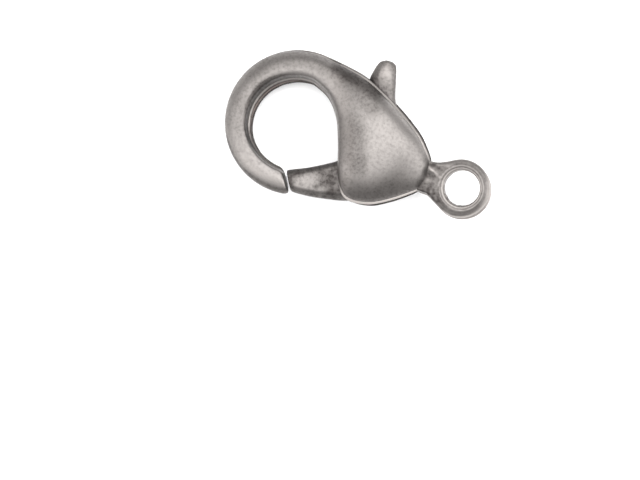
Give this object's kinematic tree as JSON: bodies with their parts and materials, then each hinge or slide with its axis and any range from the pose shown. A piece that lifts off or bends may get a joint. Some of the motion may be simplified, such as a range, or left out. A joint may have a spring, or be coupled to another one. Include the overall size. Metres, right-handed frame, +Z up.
{
  "type": "lobster clasp",
  "caption": "Lobster clasp for a necklace or bracelet: a folded sheet metal hook and hollow pouch with a ring at its end, closed by a spring lever.",
  "frame": {"origin": "centre of the ring's hole, half way through the ring", "axes": "+X from the hook to the ring, +Y to the trigger's side, +Z up from the surface that the clasp lies on; the clasp's own mid-plane is pitched by its resting angle, with the ring's end up"},
  "size_m": [0.0148, 0.0086, 0.0036],
  "materials": {
    "plated_body": "antique silver plate, tumbled to a satin, darker in the recesses",
    "plated_lever": "antique silver plate, cast, with darker edges",
    "pin_metal": "plain drawn wire, plated",
    "spring_strip": "plain spring strip"
  },
  "bodies": {
    "frame": {"body": "plated_body", "pivot_pin": "pin_metal", "return_spring": "spring_strip"},
    "lever": {"lever": "plated_lever"}
  },
  "joints": [
    {"name": "gate_swing", "type": "hinge", "parent": "frame", "child": "lever", "pos_m": [-0.00456, -0.0001, -0.00063], "axis": [-0.136, -0.007, 0.9907], "range_deg": [-25, 0], "stiffness_Nm_per_rad": 0.00002, "springref_deg": 28.65, "deforming": ["return_spring"]}
  ]
}
